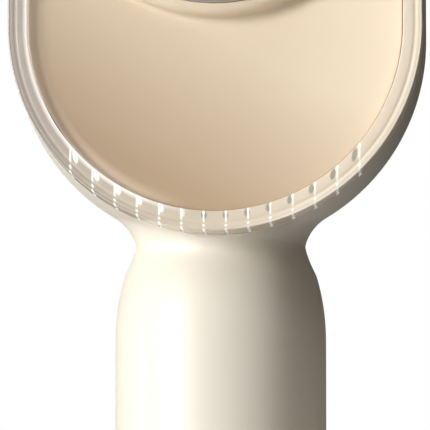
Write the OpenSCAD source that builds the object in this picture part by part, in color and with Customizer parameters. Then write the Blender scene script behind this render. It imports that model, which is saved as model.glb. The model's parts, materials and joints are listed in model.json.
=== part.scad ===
// Hand-held blackhead vacuum extractor: a round handle, a narrow neck and a wide arched head.
// +Z runs up the handle, the origin is the centre of the foot, and the head faces -Y.

/* [Handle] */
// Outer diameter of the handle
handle_d = 30; // [27:1:36]
// Outer diameter of the neck at its narrowest
neck_d = 24; // [20:1:28]
// Height over which the handle narrows to the neck
shoulder_len = 14; // [10:1:18]

/* [Head] */
// Height of the centre of the head's lower arc above the foot
head_z = 125; // [118:1:160]
// Width of the head
head_w = 59; // [54:1:72]
// Straight stretch of the head between its lower and upper arcs
head_straight = 26; // [22:1:34]
// How far the shell's front edge lies ahead of the handle's axis
head_front = 13; // [12:0.5:16]
// How far the head's back lies behind the handle's axis
head_back = 14; // [13:0.5:18]
// Rounding of the head's back edge
back_round = 9; // [6:0.5:10]
// How far forward that rounding runs along the head's side
back_reach = 15; // [12:0.5:16]

/* [Shell] */
// Wall of the two shells
wall = 1.8; // [1.5:0.1:2.2]
// Width of the flat lip around the head's opening
lip_w = 3.2; // [2.9:0.1:3.5]
// Clearance between pieces that move past each other
gap = 0.3; // [0.25:0.05:0.4]
// Radial clearance of a running fit
fit = 0.06; // [0.04:0.01:0.09]

/* [Clear cover] */
// How far the clear cover stands ahead of the shell's front edge
cover_depth = 6; // [5:0.5:8]
// Number of vents through its lower side
vent_count = 14; // [8:1:16]
// Distance from one vent to the next
vent_pitch = 3.1; // [2.8:0.1:3.3]
// Width of a vent
vent_w = 0.6; // [0.4:0.1:0.8]
// Diameter of the pegs that hold the cover
peg_d = 1.4; // [1.2:0.1:1.6]

/* [Face panel] */
// Depth of the dish below its edge
dish_depth = 3.2; // [2:0.2:4.8]
// Thickness of the dish
panel_t = 1.4; // [1.2:0.1:1.8]
// Height of the boss above the dish's deepest point
boss_h = 4; // [3.2:0.2:5.4]

/* [Suction tip] */
// Length of the tip
tip_len = 17; // [14:1:22]
// Diameter of the tip's foot
tip_d = 21; // [19:1:24]
// Diameter of the tip's mouth
mouth_d = 6; // [4:0.5:8]
// Outer diameter of the spigot that carries the tip
spigot_d = 14; // [13:0.5:15]

/* [Pump and motor] */
// Diameter of the motor
motor_d = 15; // [13:0.5:16]
// Length of the motor's can
motor_len = 16; // [14:0.5:17]
// Throw of the eccentric
throw = 0.9; // [0.6:0.1:1.1]
// Diameter of the diaphragm
diaphragm_d = 14.4; // [13:0.2:15]

/* [Electrics] */
// Diameter of the battery cell
cell_d = 14; // [13:0.5:14.5]
// Length of the battery cell
cell_len = 50; // [40:1:52]
// Travel of the buttons
press = 0.5; // [0.3:0.1:0.7]
// Diameter of the power button
power_d = 10; // [8:0.5:11]
// Diameter of the level button
level_d = 7; // [6:0.5:8]

/* [Hidden] */

$fn = 72;
round_fn = 32;
eps = 0.01;
slack = 0.05;           // between pieces that are fixed to each other

// Casing
handle_r = handle_d / 2;
inner_r = handle_r - wall;
neck_r = neck_d / 2;
head_r = head_w / 2;
front_r = head_r - 0.6; // the head's sides fall in a little towards the front
neck_z = head_z - head_r + 0.1;
shoulder_z = neck_z - shoulder_len;
crown_z = head_z + head_straight;
foot_round = 1.6;
pad_h = 1;
pad_sink = 0.5;         // the foot pad stands this far proud of the base cap
cap_h = 3;
foot_z = pad_sink + cap_h;
plug_h = 3;
lip_r = head_r - lip_w;
flange_t = 1.2;
shoulder_steps = 10;
flare_r = 3;            // rounding between the neck and the head
flare_steps = 5;
exhaust_x = [-6, -3, 0, 3, 6];
exhaust_z = [crown_z - 3, crown_z, crown_z + 3];
exhaust_hole_r = 0.7;

// Clear cover
cover_in = lip_r;
cover_out = front_r + 0.1;
cover_back = head_front + 0.15;
cover_front = head_front + cover_depth;
peg_len = 1.6;
peg_r = peg_d / 2;
peg_ring = cover_in + peg_r + 0.5;
vent_skin = 0.8;        // clear plastic left ahead of each vent

// Face panel
panel_r = cover_in - gap;
dish_edge = cover_front - 1.2;
dish_low = dish_edge - dish_depth;
dish_steps = 10;
skirt_w = 1.1;
flange_top = head_front - wall - 0.5;
flange_v = flange_top - flange_t;
flange_r = panel_r + 0.9;
boss_r = panel_r - 1.4;
boss_top = dish_low + boss_h;
boss_floor = dish_low - panel_t - 0.3;
boss_round = 1.5;
trim_out = boss_r - boss_round - 0.1;
trim_in = trim_out - 2.1;
trim_h = 2.2;
seat_r = trim_in - 0.1;
boss_hole_r = seat_r - 1;
seat_v = boss_top - 1.4;

// Nozzle and tip
spigot_r = spigot_d / 2;
dome_top = seat_v + 6.5;
spigot_len = 7;
spigot_end = dome_top + spigot_len;
pipe_r = 3.2;
pipe_end = 9;
seal_v = dome_top + 4.2;
seal_r = 0.8;
tip_v = dome_top + gap;
tip_r = tip_d / 2;
tip_end = tip_v + tip_len;
tip_bore = spigot_r + fit;
mouth_r = mouth_d / 2;
mouth_wall = 1.6;
mouth_len = 4;
pocket_r = spigot_r - 2.5;
grid_v = dome_top + slack;
grid_t = 1;
sponge_v = grid_v + grid_t + slack;
sponge_t = 3;

// Pump: the motor lies along X, the rod stands along Z
pump_v = 1;
shaft_z = head_z - 4;
motor_r = motor_d / 2;
sleeve_r = motor_r + 1;
can_t = 0.8;
nipple_gap = 3.5;       // each nipple's distance from the rod; the suction nipple is at x = 0
rod_x = nipple_gap;
rod_w = 3;
case_w = 17;
case_d = 15;
case_x0 = rod_x - case_w / 2;
case_back = pump_v - case_d / 2;
case_wall = 1.6;
case_low = shaft_z - 8;
case_top = shaft_z + 9;
motor_x1 = case_x0 - slack;
motor_x0 = motor_x1 - motor_len;
shaft_r = 1;
bush_r = 2.2;
bush_len = 2.4;
arm_r = motor_r - can_t - 2;
magnet_t = 1.2;
pin_r = 1.2;
disc_r = 3.6;
disc_t = 2.6;
rod_x0 = rod_x - rod_w / 2;
disc_x0 = rod_x0 - 0.4 - disc_t;
eye_r = 2.9;
rod_head_r = 3;
rod_head_t = 1.2;
diaphragm_r = diaphragm_d / 2;
diaphragm_t = 0.9;
chamber_r = rod_head_r + throw + 0.8;
chamber_h = 2 * throw + 0.7;
plate_t = chamber_h + 1.2;
plate_z = case_top + diaphragm_t + slack;
flap_t = 0.3;
flap_z = plate_z + plate_t + slack;
head_plate_z = flap_z + flap_t + slack;
head_plate_t = 4;
nipple_r = 1.6;
nipple_bore = 0.9;
nipple_h = 4;
nipple_top = head_plate_z + head_plate_t + nipple_h;
pump_screw_x = case_w / 2 - 1.6;
pump_screw_y = case_d / 2 - 1.6;

// Frame behind the pump
frame_v = -(head_back - wall - 3);
frame_t = pump_v - case_d / 2 - slack - frame_v;
frame_x = 17;
frame_low = head_z - 18;
frame_high = head_z + 20;
frame_screw_z = [frame_low + 3, frame_high - 3];
frame_screw_x = frame_x - 3;
pump_fix_z = shaft_z - 5;
pump_fix_x = 5;

// Hoses
hose_in = nipple_r + slack;
hose_out = hose_in + 0.9;
hose_bend = 5;
hose_start = nipple_top - nipple_h + 0.4;
exhaust_len = 8;
muffler_r = 3.2;
muffler_len = 7;

// Electrics
lead_r = 0.45;
cell_r = cell_d / 2;
tray_t = 1.5;
cell_y = inner_r - tray_t - 2 * slack - cell_r;
cell_z = 18;
board_v = 5.8;          // rear face of the main board, measured towards the front
board_t = 1.2;
board_x = 9.6;
board_z = 14;
handle_screw_z = shoulder_z - 7;
board_top = handle_screw_z - 3.6;
power_z = 54;
level_z = 34;
light_z = [41, 44, 47];
light_r = 0.9;
switch_side = 5;
switch_t = 1.8;
switch_hole_r = 1.5;
stem_r = 1.3;
switch_floor = board_v + board_t + slack + 0.5;
stem_v = switch_floor + press + 0.3;
stem_end = board_v + board_t + switch_t + press + 0.3;
button_flange_t = 1;
button_back = stem_end;
button_face = handle_r + 0.3;
socket_w = 9;
socket_h = 3.3;
socket_len = 7.3;
socket_mouth = inner_r - 0.4;
charge_board_z = 9;
charge_board_t = 1;
charge_board_x = 4.7;
socket_z = charge_board_z + charge_board_t + slack + socket_h / 2;
plug_x = 6.4;
plug_t = 0.9;
plug_low = socket_z - 3.4;
plug_high = socket_z + 3.6;
anchor_x = 3;
anchor_low = plug_low - 2.4;
swing_gap = 0.6;

// Screws
screw_r = 1;
screw_hole_r = screw_r + slack;
screw_head_r = 1.9;
screw_head_h = 1.3;
boss_out = 2.6;
small_screw = 0.8;      // the small screws are this share of the others
small_hole_r = small_screw * screw_r + slack;
board_screw_x = 7;
board_screw_z = board_z + 3;
board_post_r = 1.8;
frame_post_r = 2.2;
base_post_r = 2.6;
pad_r = handle_r - 2.6;
base_screw_x = (inner_r - 2.4) * sqrt(0.5);
base_post_z = foot_z + plug_h + 0.1;
base_post_h = 7;
base_seat_z = pad_h + small_screw * screw_head_h + 2 * slack;  // the foot screws' seat, above the pad
screw_seat_y = 8;       // how far behind the handle's axis the screw heads sit
side_screw_r = head_r - wall - boss_out - 1;
side_screw_z = head_z + 10;
crown_screw_a = 60;
shell_screw_xz = [
    [side_screw_r, side_screw_z], [-side_screw_r, side_screw_z],
    [side_screw_r * cos(crown_screw_a), crown_z + side_screw_r * sin(crown_screw_a)],
    [-side_screw_r * cos(crown_screw_a), crown_z + side_screw_r * sin(crown_screw_a)],
    [0, handle_screw_z]];

// Colours
pearl = [0.96, 0.94, 0.90];
champagne = [0.85, 0.78, 0.68];
clear = [0.92, 0.90, 0.85, 0.4];
steel = [0.62, 0.62, 0.62];
grey = [0.45, 0.46, 0.47];
dark = [0.15, 0.15, 0.16];
brass = [0.78, 0.62, 0.32];
green = [0.12, 0.36, 0.22];

// ---- Helpers ----

// Turns an upright shape so that its +Z points to the front, about the axis at height z
module facing(z, x = 0) {
    translate([x, 0, z]) rotate([90, 0, 0]) children();
}

// A ring or disc about the front axis through height z, from depth v0 to v1
module disc(z, v0, v1, r, x = 0) {
    facing(z, x) translate([0, 0, v0]) cylinder(r = r, h = v1 - v0);
}

// An arched slab: the outline of the head, r from its middle line, from depth v0 to v1
module arch(v0, v1, r) {
    translate([0, -v0, 0]) rotate([90, 0, 0]) linear_extrude(v1 - v0) arch_outline(r);
}

module arch_outline(r) {
    union() {
        translate([0, head_z]) circle(r);
        translate([0, crown_z]) circle(r);
        translate([-r, head_z]) square([2 * r, head_straight]);
    }
}

module arch_ring(v0, v1, r0, r1) {
    translate([0, -v0, 0]) rotate([90, 0, 0]) linear_extrude(v1 - v0) difference() {
        arch_outline(r1);
        arch_outline(r0);
    }
}

// Carries a half profile (x = distance from the middle line, y = depth to the front) around the arch
module around_arch() {
    facing(head_z) rotate([0, 0, 180]) rotate_extrude(angle = 180) children();
    facing(crown_z) rotate_extrude(angle = 180) children();
    translate([0, 0, head_z]) linear_extrude(head_straight) scale_to_y() children();
    translate([0, 0, head_z]) linear_extrude(head_straight) mirror([1, 0]) scale_to_y() children();
}

module scale_to_y() {
    mirror([0, 1]) children();
}

module screw(length) {
    difference() {
        union() {
            cylinder(r = screw_head_r, h = screw_head_h);
            translate([0, 0, -length]) cylinder(r = screw_r, h = length + eps);
        }
        for (turn = [0, 90])
            rotate([0, 0, turn]) translate([-1.1, -0.2, screw_head_h - 0.7]) cube([2.2, 0.4, 1]);
    }
}

// A thin wire through a list of points, with a slightly larger ball at each bend
module wire(points, r) {
    union() {
        for (i = [0 : len(points) - 2]) let (d = points[i + 1] - points[i])
            translate(points[i]) rotate([0, acos(d[2] / norm(d)), atan2(d[1], d[0])])
                cylinder(r = r, h = norm(d), $fn = 16);
        for (i = [1 : len(points) - 2]) translate(points[i]) sphere(r * 1.08, $fn = 16);
    }
}

// ---- Casing shapes ----

function ease(t) = 1 - pow(1 - t, 2.2);

// Radius of the handle and neck at height z, drawn in from the surface by inset
function stem_radius(z, inset) =
    z <= shoulder_z ? handle_r - inset :
    neck_r - inset + (handle_r - neck_r) * ease(1 - (z - shoulder_z) / shoulder_len);

shoulder_points = [for (i = [0 : shoulder_steps]) shoulder_z + shoulder_len * i / shoulder_steps];

module stem_form(inset, bottom) {
    stem_top = head_z - head_r / 2;
    rotate_extrude() polygon(concat(
        [[0, bottom]],
        bottom > 0 ? [[handle_r - inset, bottom]] :
            [for (a = [0 : 22.5 : 90]) [handle_r - foot_round * (1 - sin(a)), foot_round * (1 - cos(a))]],
        [for (z = shoulder_points) [stem_radius(z, inset), z]],
        [[neck_r - inset, stem_top], [0, stem_top]]));
}

// The soft rounding where the neck runs into the head's underside
module neck_flare() {
    rise = 4;
    intersection() {
        translate([0, 0, neck_z]) rotate_extrude() polygon(concat(
            [[neck_r - 2, 0]],
            [for (i = [0 : flare_steps]) let (a = 75 * i / flare_steps)
                [neck_r + flare_r * (1 - cos(a)), flare_r * sin(a) * 1.2]],
            [[neck_r + flare_r, rise + 3], [neck_r - 2, rise + 3]]));
        translate([-head_r, -head_front, neck_z - 1]) cube([head_w, head_front * 2, rise + 5]);
    }
}

function side_bulge(v) = head_r - (head_r - front_r) * pow(v / head_front, 2);

// Half of the head's section: a flat back, a side that rounds off towards it, and a flat front
module head_profile(inset) {
    front = head_front - inset;
    side_v = back_reach - head_back;
    polygon(concat(
        [[0, -head_back + inset]],
        [for (a = [-90 : 10 : 0])
            [head_r - back_round + (back_round - inset) * cos(a), side_v + (back_reach - inset) * sin(a)]],
        [for (i = [1 : 3]) let (v = side_v + (front - side_v) * i / 3) [side_bulge(v) - inset, v]],
        [[0, front]]));
}

module casing(inset, bottom) {
    union() {
        stem_form(inset, bottom);
        if (inset == 0) neck_flare();
        around_arch() head_profile(inset);
    }
}

module hollow_casing() {
    difference() {
        casing(0, foot_z + slack);
        casing(wall, foot_z - eps);
    }
}

module half_space(front) {
    big = 400;
    translate([-big / 2, front ? -big : 0, -big / 2]) cube(big);
}

// ---- Pieces: casing ----

module front_shell() {
    color(pearl) difference() {
        union() {
            intersection() {
                difference() {
                    hollow_casing();
                    arch(0, head_front + 1, lip_r);
                }
                half_space(true);
            }
            for (p = shell_screw_xz) front_screw_post(p);
            intersection() {
                union() {
                    for (x = [-1, 1])
                        disc(board_screw_z, board_v + board_t + slack, handle_r, board_post_r, x * board_screw_x);
                    for (x = [-1, 1]) base_post(x, -1);
                }
                casing(wall / 2, foot_z + slack);
            }
        }
        for (p = shell_screw_xz)
            disc(p[1], -eps, 6.5, screw_hole_r, p[0]);
        for (x = [-1, 1]) disc(board_screw_z, 0, handle_r - 3, small_hole_r, x * board_screw_x);
        for (x = [-1, 1]) base_post_hole(x, -1);
        for (p = cover_pegs()) disc(p[1], head_front - wall - 1, head_front + 1, peg_r + fit, p[0]);
        disc(power_z, 5, handle_r + 1, power_d / 2 + gap);
        disc(level_z, 5, handle_r + 1, level_d / 2 + gap);
        for (z = light_z) disc(z, 5, handle_r + 1, light_r + slack);
    }
}

module front_screw_post(p) {
    post_end = p[0] == 0 ? handle_r - wall + 0.4 : flange_v - 0.3;
    disc(p[1], 0, post_end, boss_out, p[0]);
}

module rear_shell() {
    color(pearl) difference() {
        union() {
            intersection() {
                hollow_casing();
                half_space(false);
            }
            intersection() {
                union() {
                    for (p = shell_screw_xz) disc(p[1], -head_back, 0, boss_out, p[0]);
                    for (x = [-1, 1], z = frame_screw_z)
                        disc(z, -head_back, frame_v - slack, frame_post_r, x * frame_screw_x);
                    for (x = [-1, 1]) base_post(x, 1);
                }
                casing(wall / 2, foot_z + slack);
            }
        }
        for (p = shell_screw_xz) {
            disc(p[1], -head_back - 5, 1, screw_hole_r, p[0]);
            disc(p[1], -head_back - 5, -screw_seat_y, screw_head_r + slack, p[0]);
        }
        for (x = [-1, 1], z = frame_screw_z)
            disc(z, -head_back + 1.4, frame_v, screw_hole_r, x * frame_screw_x);
        for (x = [-1, 1]) base_post_hole(x, 1);
        for (x = exhaust_x, z = exhaust_z) disc(z, -head_back - 1, -head_back + wall + 1, exhaust_hole_r, x);
        socket_slot(0.2, inner_r - 2, handle_r + 1);
        plug_recess();
    }
}

// Posts beside the foot that take the base screws, in the corner given by the two signs
module base_post(x, y) {
    translate([x * base_screw_x, y * base_screw_x, base_post_z])
        cylinder(r = base_post_r, h = base_post_h);
}

module base_post_hole(x, y) {
    translate([x * base_screw_x, y * base_screw_x, base_post_z - 1])
        cylinder(r = small_hole_r, h = base_post_h);
}

// Slot for the charging socket, with round ends, from y0 to y1
module socket_slot(margin, y0, y1) {
    r = socket_h / 2 + margin;
    half = socket_w / 2 + margin - r;
    for (x = [-half, half])
        translate([x, y0, socket_z]) rotate([-90, 0, 0]) cylinder(r = r, h = y1 - y0);
    translate([-half, y0, socket_z - r]) cube([2 * half, y1 - y0, 2 * r]);
}

module curved_plate(r0, r1, x, z0, z1) {
    intersection() {
        difference() {
            translate([0, 0, z0]) cylinder(r = r1, h = z1 - z0);
            translate([0, 0, z0 - 1]) cylinder(r = r0, h = z1 - z0 + 2);
        }
        translate([-x, 0, z0 - 1]) cube([2 * x, handle_r + 2, z1 - z0 + 2]);
    }
}

module plug_recess() {
    recess_r = handle_r - plug_t - gap;
    curved_plate(recess_r, handle_r + 1, plug_x + gap, plug_low - swing_gap, plug_high + gap);
    curved_plate(recess_r, handle_r + 1, anchor_x + slack, anchor_low - slack, plug_low);
}

module base_cap() {
    color(pearl) difference() {
        union() {
            translate([0, 0, pad_sink]) rotate_extrude() polygon(concat(
                [[0, 0]],
                [for (a = [0 : 15 : 90])
                    [handle_r - foot_round * (1 - sin(a)), foot_round * (1 - cos(a))]],
                [[handle_r, cap_h], [0, cap_h]]));
            translate([0, 0, foot_z - eps]) difference() {
                cylinder(r = inner_r - slack, h = plug_h);
                cylinder(r = inner_r - 1.5, h = plug_h + 1);
            }
            for (x = [-4, 4]) translate([x, 5, cap_h]) cylinder(r = 1, h = charge_board_z - cap_h - slack);
        }
        translate([0, 0, -1]) cylinder(r = pad_r + slack, h = pad_h + 1 + slack);
        for (x = [-1, 1], y = [-1, 1]) translate([x * base_screw_x, y * base_screw_x, -1]) {
            cylinder(r = small_hole_r, h = 12);
            cylinder(r = small_screw * screw_head_r + slack, h = base_seat_z + 1);
        }
    }
}

module base_pad() {
    color(dark) cylinder(r = pad_r, h = pad_h);
}

module base_screws() {
    color(steel) for (x = [-1, 1], y = [-1, 1])
        translate([x * base_screw_x, y * base_screw_x, base_seat_z - slack])
            mirror([0, 0, 1]) scale(small_screw) screw(10);
}

module shell_screws() {
    color(steel) for (p = shell_screw_xz)
        facing(p[1], p[0]) translate([0, 0, -screw_seat_y - slack]) mirror([0, 0, 1])
            screw(screw_seat_y + 6);
}

// ---- Pieces: face ----

function dish_v(r) = dish_low + dish_depth * pow(r / panel_r, 2);

module dish_profile() {
    steps = [for (i = [0 : dish_steps]) panel_r * i / dish_steps];
    polygon(concat(
        [for (r = steps) [r, dish_v(r)]],
        [[panel_r, flange_v], [panel_r - skirt_w, flange_v]],
        [for (i = [dish_steps : -1 : 0]) let (r = (panel_r - skirt_w) * i / dish_steps)
            [r, dish_v(r) - panel_t]]));
}

module boss_profile() {
    arc = [for (a = [0 : 15 : 90])
        [boss_r - boss_round * (1 - cos(a)), boss_top - boss_round * (1 - sin(a))]];
    polygon(concat(
        [[boss_hole_r, boss_floor], [boss_r, boss_floor]],
        arc,
        [[trim_out + slack, boss_top], [trim_out + slack, seat_v], [boss_hole_r, seat_v]]));
}

module face_panel() {
    color(champagne) difference() {
        union() {
            around_arch() dish_profile();
            facing(crown_z) rotate_extrude() boss_profile();
            arch_ring(flange_v, flange_top, panel_r - skirt_w, flange_r);
        }
        disc(crown_z, 0, cover_front + 10, boss_hole_r);
        facing(crown_z) rotate_extrude() translate([boss_hole_r - 1, seat_v])
            square([trim_out + slack - boss_hole_r + 1, 10]);
    }
}

module panel_gasket() {
    color(dark) arch_ring(flange_top + slack, head_front - wall - slack, panel_r + slack, flange_r);
}

module trim_ring() {
    color(steel) facing(crown_z) rotate_extrude() polygon([
        [trim_in, seat_v + slack], [trim_out, seat_v + slack], [trim_out, seat_v + trim_h - 0.4],
        [trim_out - 0.4, seat_v + trim_h], [trim_in + 0.4, seat_v + trim_h],
        [trim_in, seat_v + trim_h - 0.4]]);
}

module nozzle_base() {
    dome_base = seat_v + 1.6;
    neck_top = spigot_r + 1;
    pipe_tip = pump_v + hose_bend + 0.2;
    color(pearl) facing(crown_z) difference() {
        rotate_extrude() polygon(concat(
            [[0, pipe_tip], [nipple_r, pipe_tip], [nipple_r, pipe_end], [pipe_r, pipe_end],
             [pipe_r, seat_v - 2], [boss_hole_r - slack, seat_v - 2], [boss_hole_r - slack, seat_v + slack],
             [seat_r, seat_v + slack], [seat_r, dome_base]],
            [for (i = [1 : 8]) let (t = i / 8)
                [seat_r - (seat_r - neck_top) * t, dome_base + (dome_top - dome_base) * sin(90 * t)]],
            [[spigot_r, dome_top], [spigot_r, spigot_end - 0.5], [spigot_r - 0.5, spigot_end],
             [0, spigot_end]]));
        translate([0, 0, pipe_tip - 1]) cylinder(r = nipple_bore, h = spigot_end);
        translate([0, 0, dome_top]) cylinder(r = pocket_r, h = spigot_len + 1);
        translate([0, 0, seal_v]) seal_groove();
    }
}

module seal_groove() {
    rotate_extrude() translate([spigot_r - 2 * seal_r, -seal_r - slack])
        square([2 * seal_r + 1, 2 * (seal_r + slack)]);
}

module spigot_seal() {
    color(dark) facing(crown_z) translate([0, 0, seal_v]) rotate_extrude()
        translate([spigot_r + 0.03 - seal_r + 0.02, 0]) circle(seal_r - 0.03, $fn = round_fn);
}

// ---- Pieces: clear cover ----

function cover_pegs() = [
    for (x = [-1, 1], z = [head_z + 2, crown_z - 3]) [x * peg_ring, z],
    for (x = [-1, 1]) [x * peg_ring * cos(70), crown_z + peg_ring * sin(70)]];

module cover_profile() {
    soft = 0.7;
    groove = 0.35;
    polygon(concat(
        [[cover_in, cover_back]],
        [for (a = [180 : -15 : 90])
            [cover_in + soft * (1 + cos(a)), cover_front - soft * (1 - sin(a))]],
        [[cover_out - 1.1, cover_front - 0.3], [cover_out - 0.9, cover_front - 0.3 - groove],
         [cover_out - 0.6, cover_front - 0.4]],
        [for (a = [75 : -15 : 0])
            [cover_out - 0.6 + 0.6 * cos(a) - 0.1, cover_front - 1 + 0.6 * sin(a)]],
        [[cover_out, cover_back]]));
}

module clear_cover() {
    reach = vent_pitch * (vent_count - 1) / 2;
    color(clear) union() {
        difference() {
            around_arch() cover_profile();
            for (i = [0 : vent_count - 1]) let (x = i * vent_pitch - reach)
                translate([x - vent_w / 2, -cover_front + vent_skin, vent_low(x)])
                    cube([vent_w, cover_depth - 2 * vent_skin, vent_high(x) - vent_low(x)]);
        }
        for (p = cover_pegs()) disc(p[1], cover_back - peg_len, cover_back + 1, peg_r, p[0]);
    }
}

function vent_low(x) = head_z - sqrt(pow(cover_out, 2) - pow(x, 2)) - 1;
function vent_high(x) = head_z - sqrt(pow(cover_in, 2) - pow(abs(x) + vent_w, 2)) + 0.4;

// ---- Pieces: suction tip ----

module suction_tip() {
    foot = tip_v + 2;
    socket_end = spigot_end + 0.4;
    mouth_out = mouth_r + mouth_wall;
    mouth_low = tip_end - mouth_len;
    color(clear) facing(crown_z) difference() {
        rotate_extrude() polygon([
            [0, tip_v], [tip_r - 0.4, tip_v], [tip_r, tip_v + 0.4], [tip_r, foot],
            [mouth_out, tip_end - 1.5], [mouth_out, tip_end - 0.7], [mouth_out - 0.7, tip_end],
            [0, tip_end]]);
        translate([0, 0, tip_v - 1]) cylinder(r = tip_bore, h = socket_end - tip_v + 1);
        translate([0, 0, socket_end - eps])
            cylinder(r1 = spigot_r - 0.8, r2 = mouth_r, h = mouth_low - socket_end);
        translate([0, 0, tip_v]) cylinder(r = mouth_r, h = tip_len + 1);
    }
}

module filter_sponge() {
    color(grey) disc(crown_z, sponge_v, sponge_v + sponge_t, pocket_r - slack);
}

module filter_grid() {
    bar = 1;
    r = pocket_r - slack;
    color(pearl) facing(crown_z) translate([0, 0, grid_v]) union() {
        difference() {
            cylinder(r = r, h = grid_t);
            translate([0, 0, -1]) cylinder(r = r - 1, h = grid_t + 2);
        }
        for (turn = [0, 60, 120]) rotate([0, 0, turn])
            translate([-r + 0.5, -bar / 2, 0]) cube([2 * r - 1, bar, grid_t]);
    }
}

// ---- Pieces: pump and motor ----

// Places an upright shape on the motor's axis, with its +Z along +X from x
module on_shaft(x) {
    translate([x, -pump_v, shaft_z]) rotate([0, 90, 0]) children();
}

module tube(r0, r1, h) {
    difference() {
        cylinder(r = r1, h = h);
        translate([0, 0, -1]) cylinder(r = r0, h = h + 2);
    }
}

module inner_frame() {
    cradle_x = [motor_x0 + 4, motor_x0 + 10];
    color(grey) difference() {
        union() {
            translate([-frame_x, -frame_v - frame_t, frame_low])
                cube([2 * frame_x, frame_t, frame_high - frame_low]);
            for (x = cradle_x)
                translate([x, -frame_v - frame_t - 5, shaft_z - sleeve_r - 1.4])
                    cube([1.6, 5.5, 2 * sleeve_r + 2.8]);
        }
        on_shaft(motor_x0 - 5) cylinder(r = sleeve_r + slack, h = 30);
        for (x = [-1, 1], z = frame_screw_z)
            disc(z, frame_v - 1, frame_v + frame_t + 1, screw_hole_r, x * frame_screw_x);
        for (x = [-1, 1])
            disc(pump_fix_z, frame_v - 1, frame_v + frame_t + 1, small_hole_r, rod_x + x * pump_fix_x);
    }
}

module frame_screws() {
    color(steel) for (x = [-1, 1], z = frame_screw_z)
        facing(z, x * frame_screw_x) translate([0, 0, frame_v + frame_t + slack]) screw(frame_t + 2.2);
}

module motor_sleeve() {
    color(dark) on_shaft(motor_x0 + 3) tube(motor_r + slack, sleeve_r, motor_len - 5);
}

module motor_can() {
    color(steel) on_shaft(motor_x0) difference() {
        cylinder(r = motor_r, h = motor_len);
        translate([0, 0, -1]) cylinder(r = motor_r - can_t, h = motor_len + 1 - can_t);
        cylinder(r = bush_r + slack, h = motor_len + 1);
    }
}

module motor_magnets() {
    color(dark) on_shaft(motor_x0 + 3) difference() {
        tube(motor_r - can_t - slack - magnet_t, motor_r - can_t - slack, motor_len - 6);
        translate([-1.5, -motor_r, -1]) cube([3, 2 * motor_r, motor_len]);
    }
}

module motor_end_cap() {
    color(pearl) on_shaft(motor_x0 + slack) difference() {
        cylinder(r = motor_r - can_t - slack, h = 1.6);
        translate([0, 0, -1]) cylinder(r = bush_r + slack, h = 4);
    }
}

module motor_bushes() {
    color(brass) for (x = [motor_x0 + slack, motor_x1 - bush_len])
        on_shaft(x) tube(shaft_r + fit, bush_r, bush_len);
}

module armature() {
    color(brass) on_shaft(motor_x0 + bush_len + 1) difference() {
        union() {
            for (turn = [0, 120, 240]) rotate([0, 0, turn]) armature_pole();
            cylinder(r = 2.4, h = motor_len - 2 * bush_len - 2);
        }
        translate([0, 0, -1]) cylinder(r = shaft_r + slack / 2, h = motor_len);
    }
}

module armature_pole() {
    length = motor_len - 2 * bush_len - 4;
    translate([0, -0.9, 1]) cube([arm_r - 0.8, 1.8, length]);
    translate([0, 0, 1]) intersection() {
        tube(arm_r - 1, arm_r, length);
        translate([2, -2.8, -1]) cube([arm_r, 5.6, length + 2]);
    }
}

module motor_shaft() {
    start = motor_x0 - 0.6;
    color(steel) on_shaft(start) cylinder(r = shaft_r, h = disc_x0 + disc_t - 0.4 - start);
}

module eccentric() {
    color(brass) difference() {
        union() {
            on_shaft(disc_x0) cylinder(r = disc_r, h = disc_t);
            translate([0, 0, -throw]) on_shaft(disc_x0 + disc_t - eps) cylinder(r = pin_r, h = rod_w + 0.8);
        }
        on_shaft(disc_x0 - 1) cylinder(r = shaft_r + slack / 2, h = disc_t + 1 - 0.3);
    }
}

module connecting_rod() {
    eye_z = shaft_z - throw;
    rod_top = case_top - 0.1;
    color(pearl) difference() {
        union() {
            translate([0, 0, -throw]) on_shaft(rod_x0) cylinder(r = eye_r, h = rod_w);
            translate([rod_x - 1.2, -pump_v - 1.2, eye_z + 2]) cube([2.4, 2.4, rod_top - eye_z - 2.5]);
            translate([rod_x, -pump_v, rod_top - rod_head_t]) cylinder(r = rod_head_r, h = rod_head_t);
        }
        translate([0, 0, -throw]) on_shaft(rod_x0 - 1) cylinder(r = pin_r + fit, h = rod_w + 2);
    }
}

// A block of the pump's outline, from height z
module pump_block(z, h) {
    translate([case_x0, -pump_v - case_d / 2, z]) cube([case_w, case_d, h]);
}

module pump_case() {
    inside = [case_w - 2 * case_wall, case_d - 4.4, case_top - case_low - case_wall - 1.8];
    color(grey) difference() {
        pump_block(case_low, case_top - case_low);
        translate([rod_x - inside[0] / 2, -pump_v - inside[1] / 2, case_low + case_wall]) cube(inside);
        translate([rod_x, -pump_v, case_top - 3]) cylinder(r = chamber_r, h = 4);
        on_shaft(case_x0 - 1) cylinder(r = bush_r + 0.2, h = 4);
        pump_screw_holes(case_top - 5, 6);
        for (x = [-1, 1])
            disc(pump_fix_z, case_back - 1, case_back + 2, small_hole_r, rod_x + x * pump_fix_x);
    }
}

module pump_screw_holes(z, h) {
    for (x = [-1, 1], y = [-1, 1])
        translate([rod_x + x * pump_screw_x, -pump_v + y * pump_screw_y, z])
            cylinder(r = small_hole_r, h = h);
}

module diaphragm() {
    color(dark) translate([rod_x, -pump_v, case_top + slack / 2])
        cylinder(r = diaphragm_r, h = diaphragm_t);
}

module valve_plate() {
    color(pearl) difference() {
        pump_block(plate_z, plate_t);
        translate([rod_x, -pump_v, plate_z - 1]) cylinder(r = chamber_r, h = chamber_h + 1);
        for (x = [-1, 1]) translate([rod_x + x * nipple_gap, -pump_v, plate_z]) cylinder(r = 0.7, h = 9);
        pump_screw_holes(plate_z - 1, plate_t + 2);
    }
}

module valve_flaps() {
    color(dark) for (x = [-1, 1])
        translate([rod_x + x * nipple_gap, -pump_v, flap_z]) cylinder(r = 1.5, h = flap_t);
}

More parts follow.
